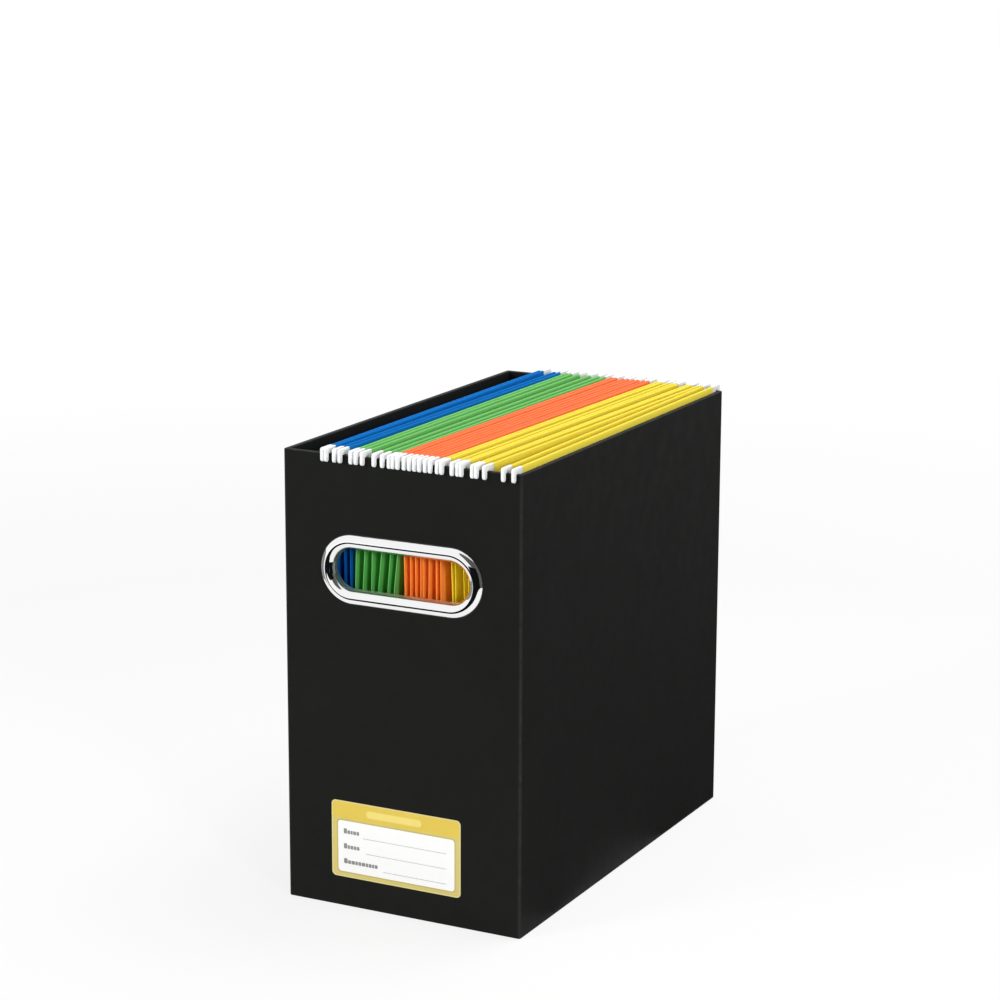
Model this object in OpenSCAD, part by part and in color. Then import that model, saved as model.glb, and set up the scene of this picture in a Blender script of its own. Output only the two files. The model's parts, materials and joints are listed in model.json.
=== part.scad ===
// Portable file box: a rigid, paper-wrapped board box with a metal-edged hand slot in each
// end, a label on the front, and a row of hanging folders hooked over its two end walls.
// Millimetres. X runs across the front, Y from the front to the back, Z up. The origin is
// the middle of the footprint, on the surface that the box stands on.

/* [Box] */
// Outer width across the front
box_w = 172; // [172:1:190]
// Outer depth from front to back, set by the length of the folders' strips
box_d = 316; // [316:1:330]
// Outer height from the floor to the rim
box_h = 304; // [296:1:330]
// Radius of the outer upright corners
corner_r = 2; // [1:0.5:2.5]
// Thickness of the grey board that stiffens the walls and the base
board_t = 2.5; // [2:0.1:2.8]

/* [Wrap and lining] */
// Thickness of the black covering
wrap_t = 0.4; // [0.3:0.1:0.5]
// Depth of the black covering turned in over the rim
turn_in = 45; // [20:1:55]
// Width of the black covering turned in under the base
turn_under = 15; // [8:1:25]
// Thickness of the pale lining paper
lining_t = 0.4; // [0.3:0.1:0.5]
// Margin between the base paper and the outer edge
base_margin = 2; // [1:0.5:4]

/* [Handles] */
// Overall width of the metal ring round the hand slot
handle_w = 118; // [100:1:130]
// Overall height of the metal ring
handle_h = 47; // [42:1:52]
// Clear height of the hand slot inside the ring
slot_h = 27.5; // [26:0.5:31]
// Height of the middle of the hand slot above the floor
handle_z = 229.5; // [215:0.5:235]
// How far the domed face of the ring stands out from the wall
dome_h = 3.2; // [2:0.1:4]
// Thickness of the ring's sheet metal
ring_t = 0.8; // [0.6:0.1:0.8]
// Height of the notch in each end of the ring
notch_h = 7.5; // [4:0.5:9]
// How far the notch runs back from the wall's face, down the ring's barrel
notch_depth = 1.6; // [1:0.1:2.5]
// How far the notch runs from the slot's edge up the ring's domed face
notch_reach = 1.9; // [1:0.1:3]

/* [Label] */
// Width of the label
label_w = 95.5; // [80:0.5:110]
// Height of the label
label_h = 52.3; // [40:0.1:60]
// Distance of the label's middle from the middle of the front, towards the right
label_x = -4.7; // [-20:0.1:20]
// Height of the label's lower edge above the floor
label_z = 20.7; // [10:0.1:60]
// Radius of the label's corners
label_r = 3; // [1:0.5:5]

/* [Folders] */
// Width of a folder's sheet, along the box
sheet_w = 298; // [290:1:298]
// Height of a folder from its crease to its top edge
sheet_h = 235; // [225:1:240]
// Thickness of the folder card
card_t = 0.5; // [0.4:0.1:0.5]
// Height that the folder tops stand above the rim
top_above_rim = 4; // [4:0.1:5]
// Depth of the sleeve folded round each strip
sleeve_h = 12; // [12:0.5:15]
// Thickness of a folded sleeve
sleeve_t = 1.8; // [1.8:0.1:2]
// Height of the flat steel strip in each sleeve
strip_h = 7; // [6.5:0.1:7]
// Thickness of the steel strip
strip_t = 0.8; // [0.6:0.1:0.8]
// Thickness of the plastic tip on each end of a strip
tip_t = 2; // [1.8:0.1:2]
// Length of a tip's outer leg below the rim
tip_drop = 5; // [4:0.5:7]
// Lift of the opening leaf's tips off the rim while it stands closed
leaf_lift = 0.6; // [0.5:0.05:0.8]

/* [Hidden] */
$fn = 64;
eps = 0.01;                    // overlap that keeps a cut from ending on a face
fit_gap = 0.05;                // play round a strip in its sleeve and its tips

wall_t = wrap_t + board_t + lining_t;
board_in = wrap_t + board_t;   // inner face of the boards, from the outside
base_z = 2 * wrap_t;           // underside of the boards, on the base paper and the wrap
floor_z = base_z + board_t;    // top of the base board
band_z = box_h - turn_in;      // lower edge of the black band inside the rim

slot_r = slot_h / 2;
ring_r = handle_h / 2;
spine = handle_w / 2 - ring_r; // half the length between the centres of the round ends
barrel_r = slot_r + 0.2;       // inside of the barrel, just back from the dome's edge
barrel_rise = 0.4;             // how far the barrel runs up into the dome's sheet
wall_slot_r = barrel_r + ring_t + 0.1;
dome_mid = (slot_r + ring_r) / 2;
dome_half = (ring_r - slot_r) / 2;
dome_r = (dome_half * dome_half + dome_h * dome_h) / (2 * dome_h);
washer_t = 1.4;
bead_r = 1;                    // the edge rolled over the washer at the barrel's inner end
bead_at = wall_t + washer_t + fit_gap + bead_r;

label_t = 0.2;

top_z = box_h + top_above_rim;
crease_z = top_z - sheet_h;
crease_half = 1.2;             // half the width of a folder's flat crease
fold_gap = 0.07;               // play between the left leaf and the crease, where the card folds

// Hooks, in steps out from the wall's outer face and up from the rim
leg_near = 0.4;                // play between the wall and a tip's outer leg
leg_w = 3.5;
socket_near = wall_t + 0.4;
socket_w = 4.8;
socket_drop = 4;
tip_round = 1.5;
strip_skin = 0.6;              // plastic between a strip and a tip's edges

// One row per folder, from the left: distance of its left strip's hook from the box's left
// face at the front and at the back, the distance to its right strip, and its colour
blue = "#0f6ab5";
green = "#5cb860";
orange = "#ff7a50";
yellow = "#f5e350";
folders = [
    [30.8, 30.8, 2.6, blue],
    [39.5, 43.2, 4.0, blue],
    [51.5, 52.8, 3.7, green],
    [59.8, 62.8, 8.6, green],
    [74.4, 78.6, 5.0, green],
    [82.1, 89.4, 3.4, orange],
    [90.1, 98.6, 3.8, orange],
    [97.6, 106.8, 3.5, orange],
    [105.2, 115.0, 3.5, orange],
    [113.8, 125.2, 3.0, yellow],
    [124.2, 133.6, 4.0, yellow],
    [130.6, 140.8, 8.0, yellow],
    [141.2, 151.2, 5.8, yellow],
    [160.0, 160.0, 7.2, yellow]
];

function folder_name(i) = str("folder_", i < 10 ? "0" : "", i);
function mouth(i) = folders[i - 1][2];
function card_colour(i) = folders[i - 1][3];
// The middle of folder i halfway along the box, and its turn about the upright there
function folder_x(i) = (folders[i - 1][0] + folders[i - 1][1] + mouth(i) - box_w) / 2;
function folder_turn(i) = atan((folders[i - 1][0] - folders[i - 1][1]) / (box_d - wall_t));

BOX_NODES = [
    "front_board", "back_board", "left_board", "right_board", "base_board",
    "outer_wrap", "base_wrap", "wall_lining", "base_lining",
    "front_handle", "back_handle", "handle_washers", "label"
];
// folder_01 opens, so each of its two leaves has its own nodes
LEAF_NODES = [
    "folder_01_right_leaf", "folder_01_right_rod", "folder_01_right_tips",
    "folder_01_left_leaf", "folder_01_left_rod", "folder_01_left_tips"
];

// Flat shapes

module rounded_rect(w, d, r) {
    square([w - 2 * r, d], center = true);
    square([w, d - 2 * r], center = true);
    for (x = [-1, 1], y = [-1, 1]) {
        translate([x * (w / 2 - r), y * (d / 2 - r)]) circle(r = r);
    }
}

// The box's plan, drawn in by inset
module plan(inset) {
    w = box_w - 2 * inset;
    d = box_d - 2 * inset;
    r = corner_r - inset;
    if (r > 0) {
        rounded_rect(w, d, r);
    } else {
        square([w, d], center = true);
    }
}

module stadium(r) {
    square([2 * spine, 2 * r], center = true);
    for (x = [-1, 1]) {
        translate([x * spine, 0]) circle(r = r);
    }
}

// Box pieces

// A ring between two insets of the plan, from z0 up to z1
module band(outer, inner, z0, z1) {
    translate([0, 0, z0]) linear_extrude(z1 - z0) difference() {
        plan(outer);
        plan(inner);
    }
}

module slab(inset, z0, z1) {
    translate([0, 0, z0]) linear_extrude(z1 - z0) plan(inset);
}

// The hand slots' cut through both end walls
module hand_slots() {
    translate([0, 0, handle_z]) rotate([90, 0, 0])
        linear_extrude(box_d + 2, center = true) stadium(wall_slot_r);
}

// side is -1 for the front and 1 for the back
module end_board(side) {
    color("#9a9488") difference() {
        intersection() {
            slab(wrap_t, base_z, box_h - wrap_t);
            translate([0, side * (box_d / 2 - board_in / 2), box_h / 2])
                cube([box_w, board_in, box_h], center = true);
        }
        hand_slots();
    }
}

// side is -1 for the left and 1 for the right
module side_board(side) {
    color("#9a9488") translate([side * (box_w / 2 - wrap_t - board_t / 2), 0, base_z])
        translate([-board_t / 2, -box_d / 2 + board_in, 0])
            cube([board_t, box_d - 2 * board_in, box_h - wrap_t - base_z]);
}

module front_board() {
    end_board(-1);
}

module back_board() {
    end_board(1);
}

module left_board() {
    side_board(-1);
}

module right_board() {
    side_board(1);
}

module base_board() {
    color("#9a9488") slab(board_in, base_z, floor_z);
}

// The black covering: outside, over the rim, down inside and in under the base
module outer_wrap() {
    color("#242524") difference() {
        union() {
            band(0, wrap_t, wrap_t, box_h);
            band(0, wall_t, box_h - wrap_t, box_h);
            band(board_in, wall_t, band_z, box_h);
            band(0, turn_under, wrap_t, base_z);
        }
        hand_slots();
    }
}

// The paper on the underside, over the edges of the black covering
module base_wrap() {
    color("#1c1c1c") {
        slab(base_margin, 0, wrap_t);
        slab(turn_under, wrap_t, base_z);
    }
}

module wall_lining() {
    color("#cfcfcf") difference() {
        band(board_in, wall_t, floor_z, band_z);
        hand_slots();
    }
}

module base_lining() {
    color("#cfcfcf") slab(wall_t, floor_z, floor_z + lining_t);
}

// Handles, drawn with the outside of the wall as the XY plane and +Z away from the box

// Sweeps a section round the stadium: X is the distance from its spine
module stadium_sweep() {
    for (turn = [0, 180]) {
        rotate([0, 0, turn]) {
            translate([spine, 0, 0]) rotate([0, 0, -90]) rotate_extrude(angle = 180) children();
            translate([-spine, 0, 0]) rotate([90, 0, 90]) linear_extrude(2 * spine) children();
        }
    }
}

// Domed face, barrel through the wall, and the bead that is rolled over the washer
module ring_section() {
    intersection() {
        translate([dome_mid, dome_h - dome_r]) difference() {
            circle(r = dome_r);
            circle(r = dome_r - ring_t);
        }
        square([ring_r + 1, dome_h + 1]);
    }
    translate([barrel_r, -bead_at]) {
        square([ring_t, bead_at + barrel_rise]);
        translate([bead_r, 0]) circle(r = bead_r);
    }
}

// The notch in the right end of the ring, from inside the slot
module notch() {
    clear = 1;
    translate([spine + slot_r - clear, -notch_h / 2, -notch_depth])
        cube([clear + notch_reach, notch_h, notch_depth + dome_h + clear]);
}

module handle_ring() {
    difference() {
        stadium_sweep() ring_section();
        for (turn = [0, 180]) {
            rotate([0, 0, turn]) notch();
        }
    }
}

module handle_washer() {
    stadium_sweep() translate([barrel_r + ring_t + fit_gap, -wall_t - washer_t])
        square([ring_r - barrel_r - 2 * ring_t, washer_t]);
}

// Stands a handle piece on an end wall: side is -1 for the front and 1 for the back
module on_end_wall(side) {
    mirror([0, side > 0 ? 1 : 0, 0]) translate([0, -box_d / 2, handle_z]) rotate([90, 0, 0])
        children();
}

module front_handle() {
    color("#e6e8ea") on_end_wall(-1) handle_ring();
}

module back_handle() {
    color("#e6e8ea") on_end_wall(1) handle_ring();
}

module handle_washers() {
    color("#b9bcbe") for (side = [-1, 1]) {
        on_end_wall(side) handle_washer();
    }
}

module label() {
    color("#e8cf58") translate([label_x, -box_d / 2, label_z + label_h / 2]) rotate([90, 0, 0])
        linear_extrude(label_t) rounded_rect(label_w, label_h, label_r);
}

// Folder pieces, drawn round the middle of their folder: the strips stand half a mouth to
// the left and the right of it. side is -1 for the left leaf and 1 for the right.

// Hangs a folder's piece in its place in the box
module hang(i) {
    translate([folder_x(i), 0, 0]) rotate([0, 0, folder_turn(i)]) children();
}

// Runs a section drawn in X and Z along the folder
module along_y(length) {
    rotate([90, 0, 0]) linear_extrude(length, center = true) children();
}

// The card folded round a strip whose middle is at x
module sleeve_section(x) {
    round_r = sleeve_t / 2;
    glue_h = 1.5;
    translate([x, 0]) difference() {
        union() {
            translate([-round_r, top_z - sleeve_h]) square([sleeve_t, sleeve_h - round_r]);
            translate([0, top_z - round_r]) circle(r = round_r);
        }
        translate([-strip_t / 2 - fit_gap, top_z - sleeve_h + glue_h])
            square([strip_t + 2 * fit_gap, sleeve_h - glue_h - card_t]);
    }
}

// One leaf: its sleeve round the strip, and a flat sheet down to the crease
module leaf_section(i, side) {
    half = card_t / 2;
    x_top = side * mouth(i) / 2;
    x_low = side * crease_half;
    top = top_z - sleeve_h + half;
    low = crease_z + half;
    sleeve_section(x_top);
    polygon([[x_low - half, low], [x_low + half, low], [x_top + half, top], [x_top - half, top]]);
    translate([x_low, low]) circle(r = half);
}

module left_leaf(i) {
    color(card_colour(i)) hang(i) along_y(sheet_w) leaf_section(i, -1);
}

// The right leaf and the flat crease, which ends a hair short of the left leaf
module right_leaf(i) {
    play = card_t / 2 + fold_gap;
    color(card_colour(i)) hang(i) along_y(sheet_w) {
        leaf_section(i, 1);
        translate([play - crease_half, crease_z]) square([2 * crease_half - play, card_t]);
    }
}

module folder_01_left_leaf() {
    left_leaf(1);
}

module folder_01_right_leaf() {
    right_leaf(1);
}

module folder_sheet(i) {
    left_leaf(i);
    right_leaf(i);
}

// Half of a strip with its hook, in steps out from the wall's outer face and up from the
// rim, grown by play on every side
module strip_section(play) {
    bar_top = top_above_rim - card_t - fit_gap;
    bar_end = -socket_near - strip_skin;
    tongue_low = 1;
    leg_in = leg_near + strip_skin;
    leg_end = leg_near + leg_w - strip_skin;
    leg_low = 2 * strip_skin - tip_drop;
    translate([-box_d / 2, bar_top - strip_h - play])
        square([bar_end + box_d / 2 + play, strip_h + 2 * play]);
    translate([bar_end - 1, tongue_low - play])
        square([leg_end - bar_end + 1 + play, bar_top - tongue_low + 2 * play]);
    translate([leg_in - play, leg_low - play])
        square([leg_end - leg_in + 2 * play, bar_top - leg_low + 2 * play]);
}

// The moulded tip's outline: outer leg, bridge over the rim, and the socket inside
module tip_section(lift) {
    leg_r = leg_w / 2;
    leg_out = leg_near + leg_w;
    socket_in = -socket_near - socket_w;
    difference() {
        union() {
            translate([leg_near, leg_r - tip_drop])
                square([leg_w, tip_drop - leg_r + top_above_rim - tip_round]);
            translate([leg_near + leg_r, leg_r - tip_drop]) circle(r = leg_r);
            translate([leg_out - tip_round, top_above_rim - tip_round]) circle(r = tip_round);
            translate([socket_in, -socket_drop])
                square([leg_out - tip_round - socket_in, socket_drop + top_above_rim]);
        }
        translate([-socket_near, -tip_drop - eps])
            square([socket_near + leg_near, tip_drop + lift + eps]);
        translate([leg_near, -tip_drop - eps]) difference() {
            square([leg_r, leg_r + eps]);
            translate([leg_r, leg_r + eps]) circle(r = leg_r);
        }
    }
}

// Stands a section of the hook's plane up over the end walls, at both ends of a strip
module at_hooks(thickness) {
    for (end = [0, 1]) {
        mirror([0, end, 0]) translate([0, box_d / 2, box_h]) rotate([90, 0, 90])
            linear_extrude(thickness, center = true) children();
    }
}

// A flat steel strip with a hook at each end
module rod(i, side) {
    color("#a9adb0") hang(i) translate([side * mouth(i) / 2, 0, 0])
        at_hooks(strip_t) strip_section(0);
}

// The two plastic tips of one strip
module tip_pair(i, side, lift) {
    color("#f4f5f6") hang(i) translate([side * mouth(i) / 2, 0, 0]) difference() {
        at_hooks(tip_t) tip_section(lift);
        at_hooks(strip_t + 2 * fit_gap) strip_section(fit_gap);
    }
}

module folder_01_left_rod() {
    rod(1, -1);
}

module folder_01_left_tips() {
    tip_pair(1, -1, leaf_lift);
}

module folder_01_right_rod() {
    rod(1, 1);
}

module folder_01_right_tips() {
    tip_pair(1, 1, 0);
}

module folder_rods(i) {
    rod(i, -1);
    rod(i, 1);
}

module folder_tips(i) {
    tip_pair(i, -1, 0);
    tip_pair(i, 1, 0);
}

front_board();
back_board();
left_board();
right_board();
base_board();
outer_wrap();
base_wrap();
wall_lining();
base_lining();
front_handle();
back_handle();
handle_washers();
label();
folder_01_right_leaf();
folder_01_right_rod();
folder_01_right_tips();
folder_01_left_leaf();
folder_01_left_rod();
folder_01_left_tips();
for (i = [2:len(folders)]) {
    folder_sheet(i);
    folder_rods(i);
    folder_tips(i);
}
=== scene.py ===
"""The looks of a portable file box: a board box in a black grained covering, with a chrome
ring round the hand slot in each end, a label, and fourteen hanging folders on its rim.

Shapes are worked out in millimetres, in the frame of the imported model: +X to the right as
seen from the labelled front, +Y to the back, +Z up, with the origin under the middle of the
box. add_piece turns them into metres."""
import json
import math

import bmesh
import bpy
from mathutils import Matrix, Vector, noise
from mathutils.geometry import delaunay_2d_cdt


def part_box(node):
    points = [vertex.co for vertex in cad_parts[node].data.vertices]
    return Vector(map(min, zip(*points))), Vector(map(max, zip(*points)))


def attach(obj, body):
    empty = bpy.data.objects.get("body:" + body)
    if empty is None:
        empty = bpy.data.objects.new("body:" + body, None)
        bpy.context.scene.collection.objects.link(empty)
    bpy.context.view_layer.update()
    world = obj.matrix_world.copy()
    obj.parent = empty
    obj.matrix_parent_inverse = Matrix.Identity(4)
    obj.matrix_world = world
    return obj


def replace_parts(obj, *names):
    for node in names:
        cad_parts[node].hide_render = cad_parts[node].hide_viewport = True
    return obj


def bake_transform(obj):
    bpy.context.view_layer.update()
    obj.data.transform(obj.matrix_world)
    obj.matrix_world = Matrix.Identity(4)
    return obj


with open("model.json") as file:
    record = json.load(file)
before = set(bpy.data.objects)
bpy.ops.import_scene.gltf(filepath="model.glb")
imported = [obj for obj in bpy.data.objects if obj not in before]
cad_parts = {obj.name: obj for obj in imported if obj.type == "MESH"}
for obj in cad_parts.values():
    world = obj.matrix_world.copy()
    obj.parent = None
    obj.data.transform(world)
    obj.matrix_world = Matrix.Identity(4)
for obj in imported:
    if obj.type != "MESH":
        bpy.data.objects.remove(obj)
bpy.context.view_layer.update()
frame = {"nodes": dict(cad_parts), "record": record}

MM = 0.001


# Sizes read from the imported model

def node_box(node):
    """Lowest and highest corner of a CAD node, in millimetres."""
    low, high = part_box(node)
    return low / MM, high / MM


wrap_low, wrap_high = node_box("outer_wrap")
BOX_W = wrap_high.x - wrap_low.x
BOX_D = wrap_high.y - wrap_low.y
BOX_H = wrap_high.z
WRAP_Z = wrap_low.z
lining_low, lining_high = node_box("wall_lining")
BAND_Z = lining_high.z
BOARD_IN = lining_low.x + BOX_W / 2
WALL_T = node_box("base_lining")[0].x + BOX_W / 2
ring_low, ring_high = node_box("front_handle")
RING_R = (ring_high.z - ring_low.z) / 2
RING_Z = (ring_high.z + ring_low.z) / 2
SPINE = ring_high.x - RING_R
DOME_H = -BOX_D / 2 - ring_low.y
BARREL_DEPTH = ring_high.y + BOX_D / 2
sheet_low, sheet_high = node_box("folder_02_sheet")
TOP_Z = sheet_high.z
CREASE_Z = sheet_low.z
tip_low, tip_high = node_box("folder_01_right_tips")
TIP_T = tip_high.x - tip_low.x

# The covering
CORNER_R = 2.0
RIM_R = 0.7
WRAP_T = 0.4
TURN_UNDER = 15.0
# The cut edge of the black band inside: steps (off the wall, up)
BAND_EDGE = (0.15, 0.2)
WALL_SLOT_R = 14.85
SLOT_CUT = (-8.0, 4.0)
PLAN_STEPS = 6
SEAM_X = -66.0
SEAM_T = 0.16
SEAM_ROUND = 0.25
SEAM_FADE = 4.0

# The rings
SLOT_R = 13.75
RING_T = 0.8
BEAD_R = 1.0
BEAD_GAP = 0.1
# From the dome's inner edge into the barrel: steps (out from the edge, in from the wall's face)
EDGE_TURN = ((0.04, -0.25), (0.2, -0.7))
NOTCH_H = 7.5
NOTCH_DEPTH = 1.6
NOTCH_REACH = 1.9
NOTCH_R = 0.5

# The label, measured from its lower left corner; boxes are (left, foot, right, top)
LABEL_R = 3.0
EDGE_W = 0.7
INKED_R = 2.5
PANEL_TOP = 40.4
FIELD_LEFT = 4.7
FIELD_FOOT = 3.7
FIELD_TOP = 38.8
FIELD_FROM_RIGHT = 4.4
FIELD_R = 2.2
FIELD_LINE = 0.8
FIELD_LINE_R = 2.6
HEADING = (26.0, 43.2, 67.0, 48.0)
HEADING_R = 2.3
RULE_END = 85.2
RULE_HALF = 0.2
WORD_LEFT = 9.0
WORD_UP = 1.5
WORD_TALL = 3.5
WORD_LOW = 2.5
WORD_GAP = 0.35
WORD_R = 0.5
# Ruled lines: height, left end, and the widths of the small blocks of the word before it
RULED = (
    (28.5, 23.5, (2.4, 2.0, 1.6, 2.2, 1.9)),
    (18.2, 25.5, (2.5, 1.7, 2.2, 1.9, 2.0)),
    (7.9, 38.5, (2.7, 2.2, 2.6, 1.9, 2.2, 2.6, 1.9, 2.2, 1.7, 2.1)),
)

# The folders
FOLDERS = 14
SHEET_HALF = 149.0
CARD_T = 0.5
SLEEVE_H = 12.0
SLEEVE_R = 0.9
CREASE_HALF = 1.2
LEAF_STEPS = 20
LENGTH_STEPS = 34
# The bend beside the crease: steps (back towards the crease, up)
BEND = ((0.45, 0.0), (0.12, 0.12), (0.0, 0.5))
# The sleeve's inner layer down to its glued edge: (gap to the leaf, height over the edge)
SLEEVE_FOOT = ((0.12, 2.6), (0.02, 1.2), (0.02, 0.1))
SLEEVE_IN = 4.6
SLEEVE_OUT = 5.0
# Waves in the card: how far it stands off, and the waves' size along the box and up
WAVE = (0.8, 85, 70)
RIPPLE = (0.25, 28, 45)
PUSH_REACH = 90
LEAN_REACH = 45

# The tips
TIP_PLAY = 0.4
TIP_RISE = 4.0
TIP_DROP = 5.0
LEG_W = 3.5
SOCKET_W = 4.8
SOCKET_DROP = 4.0
TIP_FRONT_R = 1.5
TIP_BACK_R = 0.6
SOCKET_BACK_R = 1.0
SOCKET_FRONT_R = 0.8
TIP_INNER_R = 0.4
TIP_BEVEL = 0.38
LEAF_LIFT = 0.6


# Meshes

def smooth(mesh, sharp):
    """Smooth up to the sharp angle, in degrees."""
    mesh.shade_smooth()
    mesh.set_sharp_from_angle(angle=math.radians(sharp))


def add_piece(name, points, faces, materials, face_materials=None, sharp=35):
    """Makes an object from points in millimetres, welded and smooth up to the sharp angle."""
    mesh = bpy.data.meshes.new(name)
    mesh.from_pydata([Vector(p) * MM for p in points], [], faces)
    if face_materials:
        mesh.polygons.foreach_set("material_index", face_materials)
    for material in materials:
        mesh.materials.append(material)
    work = bmesh.new()
    work.from_mesh(mesh)
    bmesh.ops.remove_doubles(work, verts=work.verts, dist=0.002 * MM)
    bmesh.ops.dissolve_degenerate(work, edges=work.edges, dist=0.001 * MM)
    bmesh.ops.recalc_face_normals(work, faces=work.faces)
    work.to_mesh(mesh)
    work.free()
    smooth(mesh, sharp)
    piece = bpy.data.objects.new(name, mesh)
    bpy.context.scene.collection.objects.link(piece)
    return piece


def apply_modifiers(piece):
    """Makes the piece's modifiers part of its mesh."""
    graph = bpy.context.evaluated_depsgraph_get()
    mesh = bpy.data.meshes.new_from_object(piece.evaluated_get(graph))
    piece.modifiers.clear()
    piece.data = mesh


def cut_away(piece, cutters):
    """Cuts the cutters out of the piece and deletes them."""
    for cutter in cutters:
        cut = piece.modifiers.new("cut", "BOOLEAN")
        cut.object = cutter
        cut.operation = "DIFFERENCE"
        cut.solver = "EXACT"
    apply_modifiers(piece)
    for cutter in cutters:
        bpy.data.objects.remove(cutter)


def even_normals(piece):
    """Keeps large flat faces flat in the light beside their rounded edges."""
    smooth(piece.data, 35)
    weighted = piece.modifiers.new("normals", "WEIGHTED_NORMAL")
    weighted.keep_sharp = True
    apply_modifiers(piece)


def arc(centre, radius, start, end, steps):
    """Points of an arc in a plane, angles in degrees."""
    points = []
    for k in range(steps + 1):
        a = math.radians(start + (end - start) * k / steps)
        points.append((centre[0] + radius * math.cos(a), centre[1] + radius * math.sin(a)))
    return points


def ring_faces(rows, columns, close_rows):
    """Quads between rows of points, where each row is a closed loop."""
    faces = []
    for row in range(rows if close_rows else rows - 1):
        below = row * columns
        above = (row + 1) % rows * columns
        for k in range(columns):
            after = (k + 1) % columns
            faces.append((below + k, below + after, above + after, above + k))
    return faces


def rounded_rect(width, depth, radius, steps=8):
    """The outline of a rectangle with round corners, anticlockwise."""
    points = []
    for turn, (sx, sy) in zip((0, 90, 180, 270), ((1, 1), (-1, 1), (-1, -1), (1, -1))):
        centre = (sx * (width / 2 - radius), sy * (depth / 2 - radius))
        points += arc(centre, radius, turn, turn + 90, steps)
    return points


def stadium(radius):
    """The outline of the hand slot, grown to a radius round its spine, anticlockwise."""
    right = arc((SPINE, 0), radius, -90, 90, 40)
    left = arc((-SPINE, 0), radius, 90, 270, 40)
    return right + left


def prism(name, outline, place, low, high, materials=()):
    """The outline pushed along its own Z from low to high, then placed."""
    count = len(outline)
    points = [place @ Vector((x, y, z)) for z in (low, high) for x, y in outline]
    faces = ring_faces(2, count, close_rows=False)
    faces.append(tuple(range(count)))
    faces.append(tuple(range(2 * count - 1, count - 1, -1)))
    return add_piece(name, points, faces, materials)


# Materials

def srgb(code):
    """A colour written as #rrggbb, as linear RGBA."""
    parts = [int(code[k:k + 2], 16) / 255 for k in (1, 3, 5)]
    linear = [c / 12.92 if c <= 0.04045 else ((c + 0.055) / 1.055) ** 2.4 for c in parts]
    return (*linear, 1.0)


def ramp(tree, value, start, end, low, high):
    """A node that maps start..end to low..high, without leaving that range."""
    node = tree.nodes.new("ShaderNodeMapRange")
    for name, number in (("From Min", start), ("From Max", end), ("To Min", low), ("To Max", high)):
        node.inputs[name].default_value = number
    tree.links.new(value, node.inputs["Value"])
    return node.outputs["Result"]


class Shader:
    """A material and short calls for the nodes that the surfaces here share."""

    def __init__(self, name, roughness=0.5, metallic=0.0, specular=0.5):
        self.material = bpy.data.materials.new(name)
        self.material.use_nodes = True
        self.tree = self.material.node_tree
        self.surface = self.tree.nodes["Principled BSDF"]
        self.surface.inputs["Roughness"].default_value = roughness
        self.surface.inputs["Metallic"].default_value = metallic
        self.surface.inputs["Specular IOR Level"].default_value = specular
        self.place = self.add("ShaderNodeTexCoord").outputs["Object"]

    def add(self, kind, **inputs):
        """Adds a node, and links or sets each input that is given by name."""
        node = self.tree.nodes.new(kind)
        for name, value in inputs.items():
            self.put(node.inputs[name.replace("_", " ")], value)
        return node

    def put(self, socket, value):
        """Links the socket to another one, or sets it."""
        if isinstance(value, bpy.types.NodeSocket):
            self.tree.links.new(value, socket)
        else:
            socket.default_value = value

    def stretched(self, scale):
        """The place on the object, scaled differently along X, Y and Z."""
        return self.add("ShaderNodeMapping", Vector=self.place, Scale=scale).outputs["Vector"]

    def noise(self, size, detail=3.0, place=None):
        """Noise with features of about the given size in millimetres."""
        node = self.add("ShaderNodeTexNoise", Vector=place or self.place, Scale=1 / (size * MM),
                        Detail=detail)
        return node.outputs["Fac"]

    def cells(self, size):
        """Distance to the nearest border of cells of the given size in millimetres."""
        node = self.add("ShaderNodeTexVoronoi", Vector=self.place, Scale=1 / (size * MM))
        node.feature = "DISTANCE_TO_EDGE"
        return node.outputs["Distance"]

    def span(self, value, low, high, to_low=0.0, to_high=1.0):
        """Maps low..high to to_low..to_high, without leaving that range."""
        return ramp(self.tree, value, low, high, to_low, to_high)

    def maths(self, operation, first, second=0.0):
        """One sum of two numbers or sockets."""
        node = self.tree.nodes.new("ShaderNodeMath")
        node.operation = operation
        self.put(node.inputs[0], first)
        self.put(node.inputs[1], second)
        return node.outputs["Value"]

    def blend(self, factor, first, second):
        """A colour between two others."""
        node = self.tree.nodes.new("ShaderNodeMix")
        node.data_type = "RGBA"
        self.put(node.inputs["Factor"], factor)
        self.put(node.inputs["A"], first)
        self.put(node.inputs["B"], second)
        return node.outputs["Result"]

    def colour(self, value):
        """Sets the surface's colour."""
        self.put(self.surface.inputs["Base Color"], value)

    def roughness(self, value):
        """Sets how matt the surface is."""
        self.put(self.surface.inputs["Roughness"], value)

    def bump(self, height, depth, strength):
        """Raises the surface by up to depth millimetres."""
        node = self.add("ShaderNodeBump", Height=height, Distance=depth * MM, Strength=strength)
        self.put(self.surface.inputs["Normal"], node.outputs["Normal"])


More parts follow.
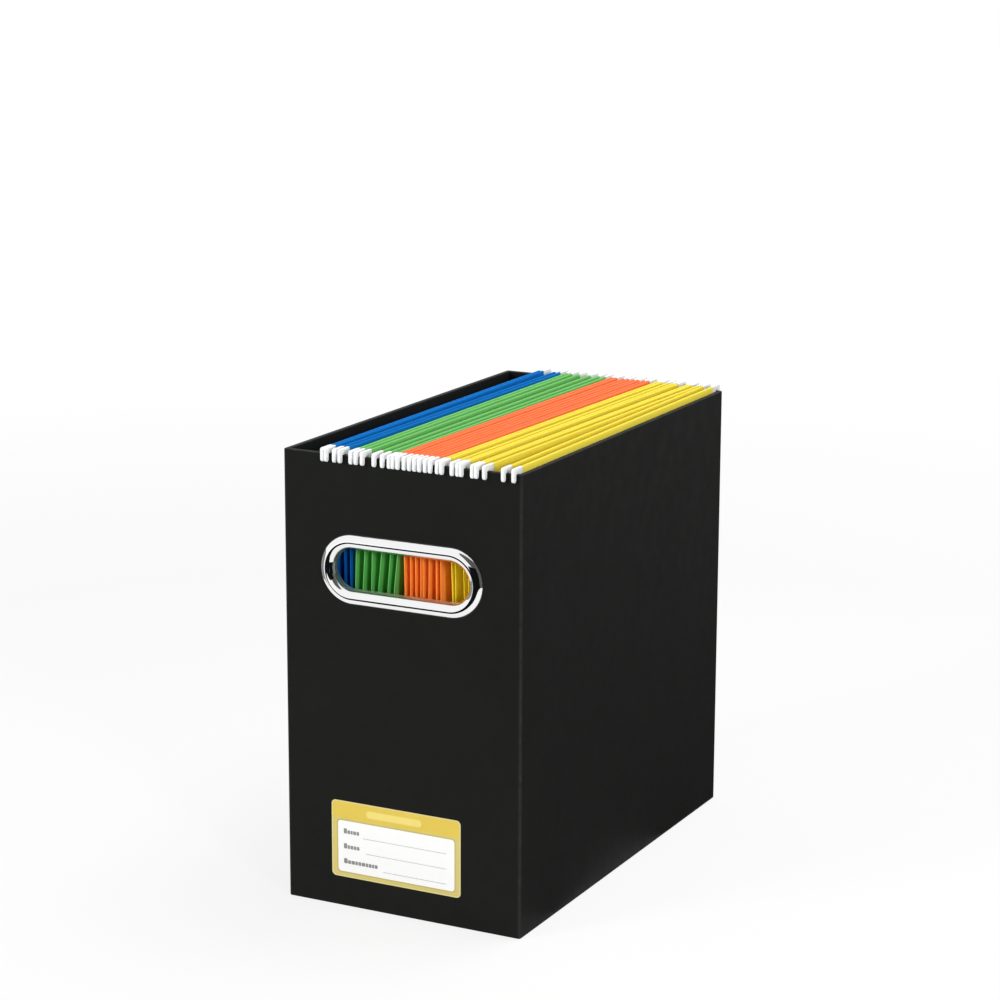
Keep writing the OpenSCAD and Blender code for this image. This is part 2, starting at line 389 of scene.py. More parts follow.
def make_wrap():
    """Matte black covering with a fine grain, a little paler along its corners and rim: partly rubbed
    wear, partly a painted edge highlight.
    """
    s = Shader("black_wrap", roughness=0.7, specular=0.1)
    grain = s.span(s.cells(0.9), 0.0, 0.35)
    broad = s.noise(45, detail=2.0)
    edges = s.add("ShaderNodeSeparateXYZ", Vector=s.place)
    from_side = s.maths("SUBTRACT", BOX_W / 2 * MM, s.maths("ABSOLUTE", edges.outputs["X"]))
    from_end = s.maths("SUBTRACT", BOX_D / 2 * MM, s.maths("ABSOLUTE", edges.outputs["Y"]))
    from_corner = s.maths("MAXIMUM", from_side, from_end)
    # The upright corners and the rim's rounded edge are painted paler: partly rubbed wear, partly a
    # painted highlight where these edges catch the light.
    corner_wear_and_highlight = s.span(from_corner, 0.6 * MM, 2.2 * MM, 1.0, 0.0)
    rim_wear_and_highlight = s.span(edges.outputs["Z"], (BOX_H - 0.9) * MM, (BOX_H - 0.2) * MM)
    wear_and_highlight = s.maths("MULTIPLY", s.maths("MAXIMUM", corner_wear_and_highlight, rim_wear_and_highlight),
                  s.span(s.noise(4, detail=4.0), 0.35, 0.75, 0.5, 1.0))
    shade = s.blend(broad, (0.0086, 0.0094, 0.0083, 1), (0.0110, 0.0118, 0.0106, 1))
    s.colour(s.blend(wear_and_highlight, shade, (0.035, 0.037, 0.035, 1)))
    s.roughness(s.span(s.noise(12, detail=4.0), 0.3, 0.7, 0.66, 0.76))
    s.bump(grain, 0.035, strength=0.5)
    return s.material


def make_base_paper():
    """Plain dark paper with short fibres."""
    s = Shader("base_paper", roughness=0.8, specular=0.25)
    fibres = s.noise(0.8, detail=5.0, place=s.stretched((1.0, 0.35, 1.0)))
    s.colour(s.blend(fibres, (0.008, 0.008, 0.008, 1), (0.017, 0.017, 0.016, 1)))
    s.bump(fibres, 0.03, strength=0.5)
    return s.material


def make_lining():
    """Pale grey lining paper with soft mottling and fibres."""
    s = Shader("lining_paper", roughness=0.75, specular=0.3)
    fibres = s.noise(0.9, detail=6.0, place=s.stretched((1.0, 1.0, 0.4)))
    cloud = s.noise(18, detail=3.0)
    shade = s.blend(cloud, srgb("#c6c6c4"), srgb("#d2d2d0"))
    s.colour(s.blend(s.span(fibres, 0.45, 0.75), shade, srgb("#dcdcda")))
    s.roughness(s.span(cloud, 0.3, 0.7, 0.7, 0.82))
    s.bump(fibres, 0.04, strength=0.5)
    return s.material


def make_board():
    """Compressed grey board with dark and pale specks."""
    s = Shader("grey_board", roughness=0.9, specular=0.2)
    specks = s.noise(0.7, detail=5.0)
    shade = s.blend(s.span(specks, 0.35, 0.65), srgb("#857f75"), srgb("#a8a296"))
    s.colour(shade)
    s.bump(specks, 0.08, strength=0.6)
    return s.material


def make_chrome():
    """Polished chrome with faint handling marks, duller inside the barrel."""
    s = Shader("chrome", roughness=0.05, metallic=1.0)
    marks = s.noise(1.6, detail=6.0, place=s.stretched((0.3, 1.0, 1.0)))
    s.colour(s.blend(s.noise(20), (0.88, 0.885, 0.89, 1), (0.93, 0.93, 0.93, 1)))
    out = s.maths("ABSOLUTE", s.add("ShaderNodeSeparateXYZ", Vector=s.place).outputs["Y"])
    dull = s.span(out, (BOX_D / 2 - 1.2) * MM, BOX_D / 2 * MM, 0.5, 0.0)
    s.roughness(s.maths("ADD", s.span(marks, 0.5, 0.8, 0.035, 0.12), dull))
    return s.material


def make_steel(name, dark, pale):
    """Rolled steel with fine lines along its length."""
    s = Shader(name, roughness=0.3, metallic=1.0)
    lines = s.noise(0.5, detail=4.0, place=s.stretched((1.0, 0.03, 1.0)))
    s.colour(s.blend(lines, srgb(dark), srgb(pale)))
    s.roughness(s.span(lines, 0.3, 0.7, 0.24, 0.4))
    s.bump(lines, 0.01, strength=0.4)
    return s.material


def make_print(name, first, second, roughness):
    """Ink on label paper: an even colour with a trace of the paper under it."""
    s = Shader(name, roughness=roughness, specular=0.4)
    fibres = s.noise(0.6, detail=5.0)
    s.colour(s.blend(s.noise(9, detail=3.0), srgb(first), srgb(second)))
    s.roughness(s.span(fibres, 0.3, 0.7, roughness - 0.05, roughness + 0.08))
    s.bump(fibres, 0.012, strength=0.4)
    return s.material


def make_tip():
    """White moulded plastic with a soft gloss and a slightly orange-peeled skin."""
    s = Shader("tip_plastic", roughness=0.32, specular=0.45)
    skin = s.noise(1.2, detail=2.0)
    s.colour(s.blend(s.noise(5), srgb("#eef0f1"), srgb("#f8f9f9")))
    s.roughness(s.span(skin, 0.3, 0.7, 0.28, 0.4))
    s.bump(skin, 0.03, strength=0.4)
    return s.material


def make_card(name, deep, plain, lower_tint):
    """Dyed card: mottled dye, fine fibres, and a different tint below the sleeve."""
    s = Shader(name, roughness=0.8, specular=0.12)
    fibres = s.noise(0.7, detail=6.0, place=s.stretched((1.0, 0.5, 1.0)))
    cloud = s.noise(14, detail=4.0)
    mottle = s.maths("MULTIPLY", s.span(fibres, 0.35, 0.65), s.span(cloud, 0.3, 0.7, 0.5, 1.0))
    height = s.add("ShaderNodeSeparateXYZ", Vector=s.place).outputs["Z"]
    # Below the sleeve band the card takes another tint.
    sleeve = s.span(height, (TOP_Z - 2.5 * SLEEVE_H) * MM, (TOP_Z - SLEEVE_H) * MM)
    s.colour(s.blend(sleeve, srgb(lower_tint), s.blend(mottle, srgb(deep), srgb(plain))))
    s.roughness(s.span(cloud, 0.3, 0.7, 0.74, 0.86))
    s.bump(fibres, 0.025, strength=0.5)
    return s.material


WRAP = make_wrap()
CHROME = make_chrome()
TIP = make_tip()
STRIP = make_steel("strip_steel", "#8f9396", "#b4b8bb")
WASHER = make_steel("washer_steel", "#a9acae", "#c6c8c9")
CARDS = {
    "card_blue": make_card("card_blue", "#0c66b4", "#1378c6", "#0d5cae"),
    "card_green": make_card("card_green", "#6cbb63", "#7ec573", "#64b85e"),
    "card_orange": make_card("card_orange", "#ff7a4a", "#ff8a5c", "#ff9742"),
    "card_yellow": make_card("card_yellow", "#ecd746", "#f3e055", "#f6da3a"),
}
# Inks of the label: two shades that it varies between, and its roughness
INKS = {
    "label_edge": ("#ddcf8c", "#e6d99c", 0.45),
    "label_gold": ("#dcbf4b", "#e3c858", 0.42),
    "label_olive": ("#cfbf70", "#d8c97c", 0.42),
    "label_deep": ("#b8a858", "#c2b264", 0.42),
    "label_white": ("#f6f6f4", "#fbfbfa", 0.5),
    "label_pale": ("#ecd772", "#f1dd80", 0.42),
    "label_rule": ("#adadab", "#bababa", 0.5),
    "label_mark": ("#7f8180", "#929493", 0.5),
}
SLOT_OF = {row["node"]: row["material_slot"] for row in frame["record"]["subparts"]}


# The covering

def wrap_section():
    """The covering's section as (distance in from the outside, height), all round the wall."""
    outer = [(TURN_UNDER, WRAP_Z)]
    outer += arc((RIM_R, WRAP_Z + RIM_R), RIM_R, 270, 180, 4)
    outer += arc((RIM_R, BOX_H - RIM_R), RIM_R, 180, 90, 6)
    outer += arc((WALL_T - RIM_R, BOX_H - RIM_R), RIM_R, 90, 0, 6)
    outer += [(WALL_T, BAND_Z + BAND_EDGE[1]), (WALL_T - BAND_EDGE[0], BAND_Z)]
    inner = [(BOARD_IN, BAND_Z), (BOARD_IN, BOX_H - WRAP_T), (WRAP_T, BOX_H - WRAP_T)]
    inner += [(WRAP_T, WRAP_Z + WRAP_T), (TURN_UNDER, WRAP_Z + WRAP_T)]
    return outer + inner


def plan_loop(inset, height):
    """The box's plan, drawn in by inset."""
    outline = rounded_rect(BOX_W - 2 * inset, BOX_D - 2 * inset, max(CORNER_R - inset, 0), PLAN_STEPS)
    return [(x, y, height) for x, y in outline]


def on_wall(side):
    """From a ring's own frame, +Z out of the wall, to the front (-1) or back (1) wall."""
    turn = Matrix.Rotation(math.radians(90), 4, "X")
    if side > 0:
        turn = Matrix.Rotation(math.pi, 4, "Z") @ turn
    return Matrix.Translation((0, side * BOX_D / 2, RING_Z)) @ turn


def make_cover():
    """The black covering, with a hand slot in each end."""
    section = wrap_section()
    points = [p for inset, height in section for p in plan_loop(inset, height)]
    faces = ring_faces(len(section), 4 * (PLAN_STEPS + 1), close_rows=True)
    cover = add_piece("cover", points, faces, [WRAP])
    cut_away(cover, [prism("slot_cutter", stadium(WALL_SLOT_R), on_wall(side), *SLOT_CUT)
                     for side in (-1, 1)])
    even_normals(cover)
    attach(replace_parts(cover, "outer_wrap"), "box")


def make_seam():
    """The covering's lap on the back: its end lies over its start, down one long edge."""
    y = BOX_D / 2
    low = WRAP_Z + RIM_R
    high = BOX_H - RIM_R
    right = -BOX_W / 2 + CORNER_R
    profile = [(right, y), (SEAM_X, y), (SEAM_X, y + SEAM_T * 0.6),
               (SEAM_X - SEAM_ROUND, y + SEAM_T), (right + SEAM_FADE, y + SEAM_T), (right, y + 0.01)]
    seam = prism("cover_seam", profile, Matrix.Identity(4), low, high, [WRAP])
    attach(seam, "box")


# The rings

def ring_section():
    """The ring's section as (distance from the spine, height out of the wall)."""
    middle = (SLOT_R + RING_R) / 2
    half = (RING_R - SLOT_R) / 2
    radius = (half * half + DOME_H * DOME_H) / (2 * DOME_H)
    centre = (middle, DOME_H - radius)
    foot = math.degrees(math.asin(-centre[1] / radius))
    inner_r = radius - RING_T
    inner_foot = math.degrees(math.asin(-centre[1] / inner_r))
    barrel = SLOT_R + EDGE_TURN[-1][0]
    bead = (barrel + BEAD_R, BEAD_R - BARREL_DEPTH)
    section = arc(centre, radius, foot, 180 - foot, 36)
    section += [(SLOT_R + out, height) for out, height in EDGE_TURN]
    section += arc(bead, BEAD_R, 180, 440, 16)
    section.append((barrel + RING_T, bead[1] + BEAD_R + BEAD_GAP))
    join = math.degrees(math.acos((middle - barrel - RING_T) / inner_r))
    section += arc(centre, inner_r, 180 - join, inner_foot, 20)
    return section


def make_ring(name, node, side):
    """A domed ring with its barrel and a notch at each end of the slot, in one end wall."""
    section = ring_section()
    spine = [((SPINE, 0), math.radians(a)) for a in range(-90, 91, 4)]
    spine += [((-SPINE, 0), math.radians(a)) for a in range(90, 271, 4)]
    place = on_wall(side)
    points = []
    for (cx, cy), a in spine:
        points += [place @ Vector((cx + r * math.cos(a), cy + r * math.sin(a), h))
                   for r, h in section]
    faces = ring_faces(len(spine), len(section), close_rows=True)
    ring = add_piece(name, points, faces, [CHROME], sharp=40)
    notch = rounded_rect(2 * NOTCH_REACH, NOTCH_H, NOTCH_R)
    cut_away(ring, [
        prism("notch_cutter", notch, place @ Matrix.Translation((x * (SPINE + SLOT_R), 0, 0)),
              -NOTCH_DEPTH, DOME_H)
        for x in (-1, 1)])
    smooth(ring.data, 40)
    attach(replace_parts(ring, node), "box")


# The label

def inside_rounded(point, box, radius):
    """True where a point is inside a rounded box (x0, z0, x1, z1)."""
    x0, z0, x1, z1 = box
    dx = max(x0 + radius - point[0], point[0] - x1 + radius, 0)
    dz = max(z0 + radius - point[1], point[1] - z1 + radius, 0)
    return math.hypot(dx, dz) <= radius


def box_outline(box, radius):
    """The outline of a rounded box (x0, z0, x1, z1)."""
    x0, z0, x1, z1 = box
    middle = ((x0 + x1) / 2, (z0 + z1) / 2)
    return [(middle[0] + x, middle[1] + z) for x, z in rounded_rect(x1 - x0, z1 - z0, radius, 6)]


def grown(box, margin):
    """A box that is larger by a margin on each side."""
    return box[0] - margin, box[1] - margin, box[2] + margin, box[3] + margin


def word_blocks(left, foot, widths):
    """A row of small blocks that stands for a printed word, its first block taller."""
    blocks = []
    height = WORD_TALL
    for width in widths:
        blocks.append((left, foot, left + width, foot + height))
        left += width + WORD_GAP
        height = WORD_LOW
    return blocks


def label_shapes(low, high):
    """What is printed on the label, from the paper up, as (box, corner radius, ink)."""
    whole = (low.x, low.z, high.x, high.z)
    inked = grown(whole, -EDGE_W)
    panel = (*inked[:3], low.z + PANEL_TOP)
    field = (low.x + FIELD_LEFT, low.z + FIELD_FOOT, high.x - FIELD_FROM_RIGHT, low.z + FIELD_TOP)
    heading = (low.x + HEADING[0], low.z + HEADING[1], low.x + HEADING[2], low.z + HEADING[3])
    shapes = [(whole, LABEL_R, "label_edge"), (inked, INKED_R, "label_gold"),
              (panel, INKED_R, "label_olive"), (grown(field, FIELD_LINE), FIELD_LINE_R, "label_deep"),
              (field, FIELD_R, "label_white"), (heading, HEADING_R, "label_pale")]
    for height, left, widths in RULED:
        z = low.z + height
        line = (low.x + left, z - RULE_HALF, low.x + RULE_END, z + RULE_HALF)
        shapes.append((line, RULE_HALF, "label_rule"))
        words = word_blocks(low.x + WORD_LEFT, z + WORD_UP, widths)
        shapes += [(block, WORD_R, "label_mark") for block in words]
    return shapes


def make_label():
    """A gold adhesive label: a plain heading bar, and a white field with three ruled lines."""
    low, high = node_box("label")
    shapes = label_shapes(low, high)
    inks = list(INKS)
    verts = []
    edges = []
    for area, radius, _ in shapes:
        outline = box_outline(area, radius)
        first = len(verts)
        verts += [Vector(p) for p in outline]
        edges += [(first + k, first + (k + 1) % len(outline)) for k in range(len(outline))]
    flat, _, triangles, _, _, _ = delaunay_2d_cdt(verts, edges, [], 1, 0.0001)
    points = [(p.x, low.y, p.y) for p in flat]
    faces = []
    slots = []
    for triangle in triangles:
        middle = sum((flat[k] for k in triangle), Vector((0, 0))) / 3
        found = [ink for area, radius, ink in shapes if inside_rounded(middle, area, radius + 0.01)]
        if found:
            faces.append(tuple(triangle))
            slots.append(inks.index(found[-1]))
    rim = box_outline(shapes[0][0], LABEL_R)
    first = len(points)
    points += [(x, y, z) for y in (low.y, high.y) for x, z in rim]
    sides = ring_faces(2, len(rim), close_rows=False)
    faces += [tuple(first + k for k in face) for face in sides]
    faces.append(tuple(range(first + len(rim), first + 2 * len(rim))))
    slots += [inks.index("label_edge")] * (len(sides) + 1)
    materials = [make_print(ink, *look) for ink, look in INKS.items()]
    label = add_piece("printed_label", points, faces, materials, slots)
    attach(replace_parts(label, "label"), "box")


# The folders

class Folder:
    """One folder's place and size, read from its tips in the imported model."""

    def __init__(self, number):
        self.name = f"folder_{number:02d}"
        self.number = number
        self.opens = number == 1
        if self.opens:
            tips = [f"{self.name}_left_tips", f"{self.name}_right_tips"]
            sheet = f"{self.name}_right_leaf"
        else:
            tips = [f"{self.name}_tips"]
            sheet = f"{self.name}_sheet"
        self.card = SLOT_OF[sheet]
        corners = [v.co / MM for tip in tips for v in frame["nodes"][tip].data.vertices]
        front = [v for v in corners if v.y < 0]
        back = [v for v in corners if v.y > 0]
        ends = [(min(v.x for v in group) + max(v.x for v in group)) / 2 for group in (front, back)]
        reach = BOX_D / 2 - WALL_T / 2
        turn = math.atan2(ends[0] - ends[1], 2 * reach)
        self.place = (Matrix.Translation(((ends[0] + ends[1]) / 2, 0, 0))
                      @ Matrix.Rotation(turn, 4, "Z"))
        local = [(self.place.inverted() @ v).x for v in corners]
        self.mouth = max(local) - min(local) - TIP_T

    def tips_of(self, side):
        """The name of the CAD node with the tips of a side's strip."""
        if self.opens:
            return f"{self.name}_{'left' if side < 0 else 'right'}_tips"
        return f"{self.name}_tips"


# How far the front end of a leaf, (folder, side), is pushed to the right at the hand slot
PUSHES = {
    (3, -1): -3.8, (3, 1): -1.2, (4, -1): -0.8, (4, 1): -2.4, (5, -1): -2.4, (5, 1): -2.5,
    (6, -1): 2.1, (6, 1): 2.2, (7, -1): 2.2, (7, 1): 1.2, (9, -1): 2.3, (9, 1): 0.9,
    (10, -1): 5.1, (10, 1): 3.6, (11, -1): 2.6, (11, 1): 1.2, (12, -1): 0.6,
}
# How far it leans to the right there, from the slot's middle to its edge
LEANS = {(3, -1): 0.3, (3, 1): 0.8, (4, -1): 1.0, (4, 1): 1.3, (5, -1): 1.6, (5, 1): 1.8}


def leaf_sway(folder, side, y, z):
    """How far the card of a leaf stands off its straight line, to the right."""
    up = (z - CREASE_Z) / (TOP_Z - SLEEVE_H - CREASE_Z)
    hold = math.sin(math.pi * min(max(up, 0), 1)) ** 0.7
    seed = folder.number * 7.3 + side * 2.1
    wave = 0.0
    for (size, along, upward), shift in ((WAVE, 0), (RIPPLE, 40)):
        wave += size * noise.noise(Vector((y / along, z / upward, seed + shift)))
    from_front = y + SHEET_HALF
    push = PUSHES.get((folder.number, side), 0.0) * math.exp(-(from_front / PUSH_REACH) ** 2)
    off = (z - RING_Z) / SLOT_R
    lean = LEANS.get((folder.number, side), 0.0) * off * math.exp(-off * off / 4)
    return hold * (wave + push + lean * math.exp(-(from_front / LEAN_REACH) ** 2))


def leaf_line(folder, side, y):
    """The middle of a leaf's card at y: from the crease up, over the strip and down again."""
    top = folder.mouth / 2
    layer = SLEEVE_R - CARD_T / 2
    low = CREASE_Z + CARD_T / 2
    seam = TOP_Z - SLEEVE_H
    points = [(CREASE_HALF - back, low + up) for back, up in BEND]
    foot = points[-1][1]
    for k in range(1, LEAF_STEPS + 1):
        t = k / LEAF_STEPS
        z = foot + t * (seam - foot)
        x = CREASE_HALF + t * (top + layer - CREASE_HALF)
        points.append((x + side * leaf_sway(folder, side, y, z), z))
    points.append((top + layer, seam + SLEEVE_OUT))
    points += arc((top, TOP_Z - SLEEVE_R), layer, 0, 180, 8)
    points.append((top - layer, seam + SLEEVE_IN))
    points += [(top + layer - CARD_T - gap, seam + up) for gap, up in SLEEVE_FOOT]
    return [(side * x, z) for x, z in points]


def card_ribbon(lines, stations, place):
    """Card of even thickness that follows one line of points at each station."""
    count = len(lines[0])
    points = []
    for line, y in zip(lines, stations):
        for offset in (-CARD_T / 2, CARD_T / 2):
            for k, (x, z) in enumerate(line):
                before = line[max(k - 1, 0)]
                after = line[min(k + 1, count - 1)]
                across = Vector((after[1] - before[1], before[0] - after[0])).normalized()
                points.append(place @ Vector((x + offset * across.x, y, z + offset * across.y)))
    row = 2 * count
    faces = []
    for j in range(len(stations) - 1):
        here, there = j * row, (j + 1) * row
        for k in range(count - 1):
            faces.append((here + k, here + k + 1, there + k + 1, there + k))
            faces.append((here + count + k, there + count + k, there + count + k + 1,
                          here + count + k + 1))
        for k in (0, count - 1):
            faces.append((here + k, there + k, there + count + k, here + count + k))
    for first in (0, (len(stations) - 1) * row):
        for k in range(count - 1):
            faces.append((first + k, first + k + 1, first + count + k + 1, first + count + k))
    return points, faces


def make_sheet(folder):
    """A folder's card: one leaf, the crease and the other leaf, with a sleeve along each top."""
    stations = [SHEET_HALF * (2 * k / LENGTH_STEPS - 1) for k in range(LENGTH_STEPS + 1)]
    lines = []
    for y in stations:
        left = leaf_line(folder, -1, y)
        right = leaf_line(folder, 1, y)
        lines.append(left[::-1] + right)
    points, faces = card_ribbon(lines, stations, folder.place)
    card = add_piece(f"{folder.name}_card", points, faces, [CARDS[folder.card]], sharp=50)
    if folder.opens:
        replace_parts(card, f"{folder.name}_left_leaf", f"{folder.name}_right_leaf")
        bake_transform(card)
    else:
        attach(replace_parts(card, f"{folder.name}_sheet"), folder.name)


def tip_outline(lift):
    """A tip in the hook's plane: steps out from the wall's outer face, and up from the rim."""
    leg_r = LEG_W / 2
    leg_out = TIP_PLAY + LEG_W
    near = -WALL_T - TIP_PLAY
    far = near - SOCKET_W
    roof = lift - TIP_INNER_R
    outline = arc((TIP_PLAY + leg_r, leg_r - TIP_DROP), leg_r, 180, 360, 10)
    outline += arc((leg_out - TIP_FRONT_R, TIP_RISE - TIP_FRONT_R), TIP_FRONT_R, 0, 90, 6)
    outline += arc((far + TIP_BACK_R, TIP_RISE - TIP_BACK_R), TIP_BACK_R, 90, 180, 4)
    outline += arc((far + SOCKET_BACK_R, SOCKET_BACK_R - SOCKET_DROP), SOCKET_BACK_R, 180, 270, 4)
    outline += arc((near - SOCKET_FRONT_R, SOCKET_FRONT_R - SOCKET_DROP), SOCKET_FRONT_R, 270, 360, 4)
    outline += arc((near + TIP_INNER_R, roof), TIP_INNER_R, 180, 90, 3)
    outline += arc((TIP_PLAY - TIP_INNER_R, roof), TIP_INNER_R, 90, 0, 3)
    return outline


def tip_mesh(lift):
    """Points and faces of one tip with soft edges, its hook's plane at X = 0."""
    work = bmesh.new()
    outline = tip_outline(lift)
    face = work.faces.new([work.verts.new((-TIP_T / 2, out, up)) for out, up in outline])
    side = bmesh.ops.extrude_face_region(work, geom=[face])["geom"]
    moved = [v for v in side if isinstance(v, bmesh.types.BMVert)]
    bmesh.ops.translate(work, verts=moved, vec=(TIP_T, 0, 0))
    rims = [e for e in work.edges if abs(e.verts[0].co.x - e.verts[1].co.x) < 0.01]
    bmesh.ops.bevel(work, geom=rims, offset=TIP_BEVEL, segments=3, profile=0.5, affect="EDGES")
    work.verts.index_update()
    points = [v.co.copy() for v in work.verts]
    faces = [tuple(v.index for v in f.verts) for f in work.faces]
    work.free()
    return points, faces


def make_tips(folder, side_list, name, node, body, lift=0.0):
    """The tips at both ends of the strips on the given sides, as one piece."""
    tip_points, tip_faces = tip_mesh(lift)
    points = []
    faces = []
    for side in side_list:
        for end in (-1, 1):
            first = len(points)
            shift = Matrix.Translation((side * folder.mouth / 2, end * BOX_D / 2, BOX_H))
            flip = Matrix.Diagonal((1, end, 1, 1))
            points += [folder.place @ shift @ flip @ p for p in tip_points]
            faces += [tuple(first + k for k in face) for face in tip_faces]
    tips = add_piece(name, points, faces, [TIP], sharp=50)
    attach(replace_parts(tips, node), body)


def make_folder(number):
    """A folder's card and tips. An opening folder has its left tips on the leaf that swings."""
    folder = Folder(number)
    make_sheet(folder)
    if folder.opens:
        make_tips(folder, [-1], f"{folder.name}_left_caps", folder.tips_of(-1), f"{folder.name}_leaf",
                  LEAF_LIFT)
        make_tips(folder, [1], f"{folder.name}_right_caps", folder.tips_of(1), folder.name)
    else:
        make_tips(folder, [-1, 1], f"{folder.name}_caps", folder.tips_of(1), folder.name)


# CAD nodes that keep their shape

def finish_cad_nodes():
    """Gives the nodes that nothing replaces their detailed materials."""
    plain = {
        "grey_board": make_board(),
        "base_paper": make_base_paper(),
        "lining_paper": make_lining(),
        "strip_steel": STRIP,
        "washer_steel": WASHER,
    }
    for name, node in frame["nodes"].items():
        material = plain.get(SLOT_OF[name])
        if material:
            node.data.materials.clear()
            node.data.materials.append(material)


# Studio

CAMERA_PLACE = (853.66, -1681.8, 681.28)
CAMERA_AZIMUTH = 27.198
CAMERA_ELEVATION = 12.966
CAMERA_ROLL = 0.187
FOCAL_PIXELS = 2843.46
PHOTO_PIXELS = 1000
SENSOR = 36.0

WORLD_LIGHT = 0.27

# The floor, in metres: a grey that lights the object, and a paler one that is seen, with a
# glow that reaches white far from the box
FLOOR_HALF = 8.0
FLOOR_GREY = 0.6
FLOOR_SEEN = 0.15
FLOOR_GLOW = 0.82
GLOW_NEAR = 0.8
GLOW_FAR = 2.5

# Square lamps: place and aim in metres, side in metres and power in watts
LAMPS = {
    "left_light": ((-1.1, -1.9, 0.9), (0, -0.1, 0.2), 0.6, 28.0),
    "right_light": ((1.65, -1.35, 0.8), (0, -0.1, 0.2), 0.35, 17.0),
    "top_light": ((0.4, 0.4, 1.8), (0, 0, 0.25), 1.0, 24.5),
}

# Dark strips of the studio that the rings reflect, seen from the front ring. A wall has its
# distance in metres, its grey, and stations of (azimuth, lowest, highest elevation) in degrees
REFLECTED_WALLS = {
    "dark_wall": (0.34, 0.01, [
        (-40, -25, -15), (-35, -30, -10), (-25, -30, -10), (-18, -32, -10), (-14, -33, -10),
        (-10, -34, -6), (-4, -34, 1), (4, -34, 7), (12, -34, 12), (20, -30, 16), (28, -25, 19),
        (36, -21, 22), (48, -17, 26), (60, -15, 27)]),
    "dusk_wall": (0.36, 0.15, [
        (0, 40, 56), (12, 22, 62), (24, 16, 62), (36, 20, 62), (48, -14, 60), (62, -14, 56),
        (80, -13, 50), (100, -12, 40)]),
    "grey_wall": (0.56, 0.3, [
        (-150, -60, 5), (-120, -60, 7), (-90, -60, 7), (-65, -60, 1), (-48, -60, -9)]),
}
WALL_FOOT = 0.001
# A black cloth on the floor beside the box: stations of (azimuth, nearest, farthest) in metres
CLOTH = [(98, 0.1, 0.8), (120, 0.1, 1.6), (150, 0.2, 2.2), (172, 0.35, 2.2)]
CLOTH_GREY = 0.01
CLOTH_Z = 0.002


def make_camera():
    """The photograph's view: azimuth 0 looks along +Y, and 90 along -X."""
    azimuth, elevation, roll = (math.radians(a) for a in
                                (CAMERA_AZIMUTH, CAMERA_ELEVATION, CAMERA_ROLL))
    back = Vector((math.sin(azimuth) * math.cos(elevation),
                   -math.cos(azimuth) * math.cos(elevation), math.sin(elevation)))
    level = Vector((0, 0, 1)).cross(back).normalized()
    upright = back.cross(level)
    right = math.cos(roll) * level + math.sin(roll) * upright
    up = math.cos(roll) * upright - math.sin(roll) * level
    data = bpy.data.cameras.new("camera")
    data.sensor_width = SENSOR
    data.lens = FOCAL_PIXELS / PHOTO_PIXELS * SENSOR
    camera = bpy.data.objects.new("camera", data)
    turn = Matrix((right, up, back)).transposed().to_4x4()
    camera.matrix_world = Matrix.Translation(Vector(CAMERA_PLACE) * MM) @ turn
    bpy.context.scene.collection.objects.link(camera)
    bpy.context.scene.camera = camera


def seen_directly(tree):
    """1 for what the camera sees straight, in a mirror or through glass, and otherwise 0."""
    path = tree.nodes.new("ShaderNodeLightPath")
    seen = path.outputs["Is Camera Ray"]
    for ray in ("Is Glossy Ray", "Is Transmission Ray"):
        either = tree.nodes.new("ShaderNodeMath")
        either.operation = "MAXIMUM"
        tree.links.new(seen, either.inputs[0])
        tree.links.new(path.outputs[ray], either.inputs[1])
        seen = either.outputs["Value"]
    return seen


def make_world():
    """White where it is seen, and a plain soft light on the object."""
    world = bpy.data.worlds.new("studio")
    bpy.context.scene.world = world
    world.use_nodes = True
    tree = world.node_tree
    background = tree.nodes["Background"]
    background.inputs["Color"].default_value = (1, 1, 1, 1)
    level = ramp(tree, seen_directly(tree), 0, 1, WORLD_LIGHT, 1)
    tree.links.new(level, background.inputs["Strength"])


def make_stage(name, points, faces, grey):
    """A matt piece of the studio, and its material."""
    mesh = bpy.data.meshes.new(name)
    mesh.from_pydata(points, [], faces)
    piece = bpy.data.objects.new(name, mesh)
    bpy.context.scene.collection.objects.link(piece)
    material = bpy.data.materials.new(name)
    material.use_nodes = True
    surface = material.node_tree.nodes["Principled BSDF"]
    surface.inputs["Base Color"].default_value = (grey, grey, grey, 1)
    surface.inputs["Roughness"].default_value = 0.9
    surface.inputs["Specular IOR Level"].default_value = 0.0
    mesh.materials.append(material)
    return piece, material


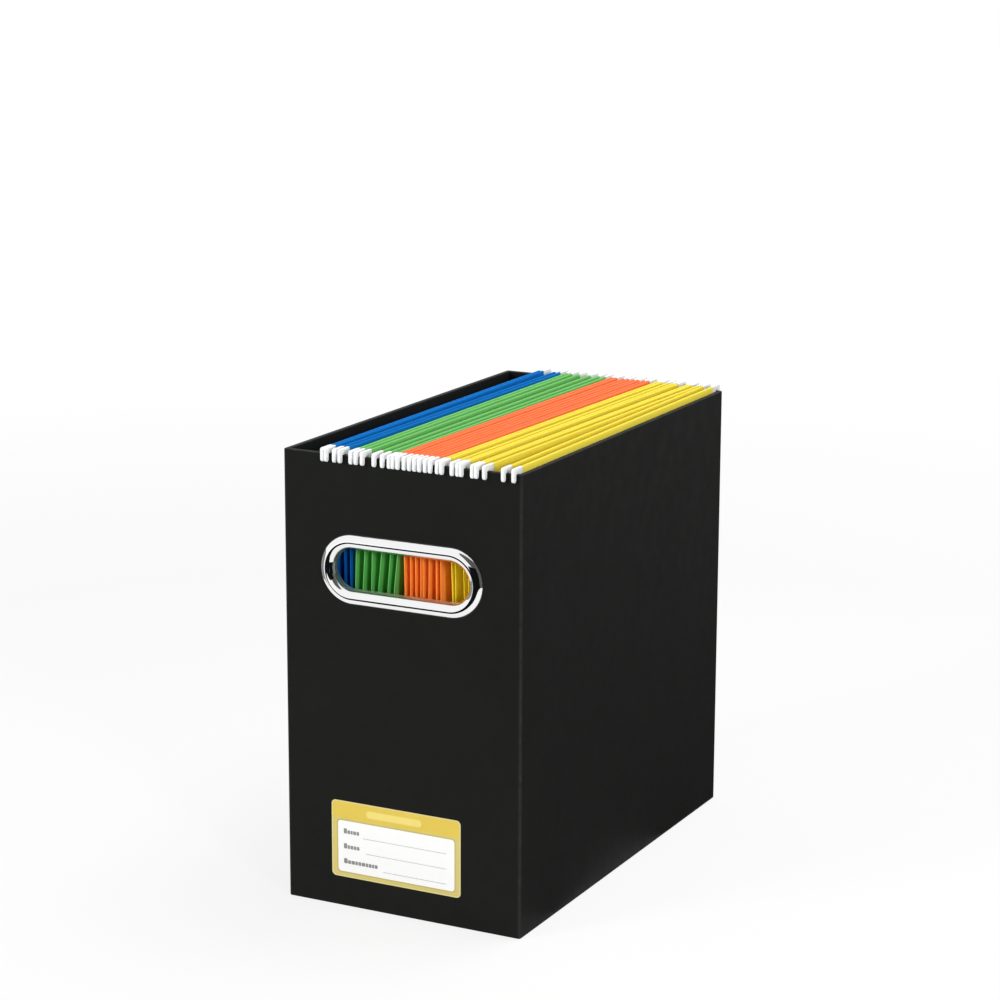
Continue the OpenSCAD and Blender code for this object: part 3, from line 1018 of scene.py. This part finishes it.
def make_floor():
    """A floor that lights the object as grey, and is seen as white with a pale soft shadow."""
    corners = [(x * FLOOR_HALF, y * FLOOR_HALF, 0) for x, y in ((-1, -1), (1, -1), (1, 1), (-1, 1))]
    _, material = make_stage("floor", corners, [(0, 1, 2, 3)], FLOOR_GREY)
    tree = material.node_tree
    surface = tree.nodes["Principled BSDF"]
    seen = seen_directly(tree)
    tree.links.new(ramp(tree, seen, 0, 1, FLOOR_GREY, FLOOR_SEEN), surface.inputs["Base Color"])
    from_box = tree.nodes.new("ShaderNodeVectorMath")
    from_box.operation = "LENGTH"
    tree.links.new(tree.nodes.new("ShaderNodeTexCoord").outputs["Object"], from_box.inputs[0])
    level = ramp(tree, from_box.outputs["Value"], GLOW_NEAR, GLOW_FAR, FLOOR_GLOW, 1)
    strength = tree.nodes.new("ShaderNodeMath")
    strength.operation = "MULTIPLY"
    tree.links.new(seen, strength.inputs[0])
    tree.links.new(level, strength.inputs[1])
    glow = tree.nodes.new("ShaderNodeEmission")
    tree.links.new(strength.outputs["Value"], glow.inputs["Strength"])
    both = tree.nodes.new("ShaderNodeAddShader")
    tree.links.new(surface.outputs["BSDF"], both.inputs[0])
    tree.links.new(glow.outputs["Emission"], both.inputs[1])
    tree.links.new(both.outputs["Shader"], tree.nodes["Material Output"].inputs["Surface"])


def make_lamp(name, place, target, size, power):
    """A square lamp that reflections don't show."""
    data = bpy.data.lights.new(name, "AREA")
    data.size = size
    data.energy = power
    lamp = bpy.data.objects.new(name, data)
    place, target = Vector(place), Vector(target)
    turn = (target - place).to_track_quat("-Z", "Y").to_matrix().to_4x4()
    lamp.matrix_world = Matrix.Translation(place) @ turn
    lamp.visible_glossy = False
    bpy.context.scene.collection.objects.link(lamp)


def make_reflected(name, points, grey):
    """A strip of the studio that only reflections see, from pairs of points along it."""
    faces = [(k, k + 2, k + 3, k + 1) for k in range(0, len(points) - 2, 2)]
    piece, _ = make_stage(name, points, faces, grey)
    piece.visible_camera = False
    piece.visible_diffuse = False
    piece.visible_shadow = False
    piece.visible_transmission = False


def round_ring(azimuth, distance, height):
    """A point in metres, at an azimuth in degrees and a distance from the front ring."""
    a = math.radians(azimuth)
    return distance * math.sin(a), -BOX_D / 2 * MM - distance * math.cos(a), height


def make_standing(name, distance, grey, stations):
    """A reflected wall round the ring."""
    points = []
    for azimuth, *elevations in stations:
        for elevation in elevations:
            height = RING_Z * MM + distance * math.tan(math.radians(elevation))
            points.append(round_ring(azimuth, distance, max(height, WALL_FOOT)))
    make_reflected(name, points, grey)


def make_cloth():
    """The reflected cloth on the floor."""
    points = []
    for azimuth, *distances in CLOTH:
        points += [round_ring(azimuth, distance, CLOTH_Z) for distance in distances]
    make_reflected("side_cloth", points, CLOTH_GREY)


make_camera()
bpy.context.scene.view_settings.view_transform = "Standard"
make_world()
make_floor()
for lamp_name, lamp in LAMPS.items():
    make_lamp(lamp_name, *lamp)
for wall_name, wall in REFLECTED_WALLS.items():
    make_standing(wall_name, *wall)
make_cloth()

make_cover()
make_seam()
make_ring("front_ring", "front_handle", -1)
make_ring("back_ring", "back_handle", 1)
make_label()
for number in range(1, FOLDERS + 1):
    make_folder(number)
finish_cad_nodes()
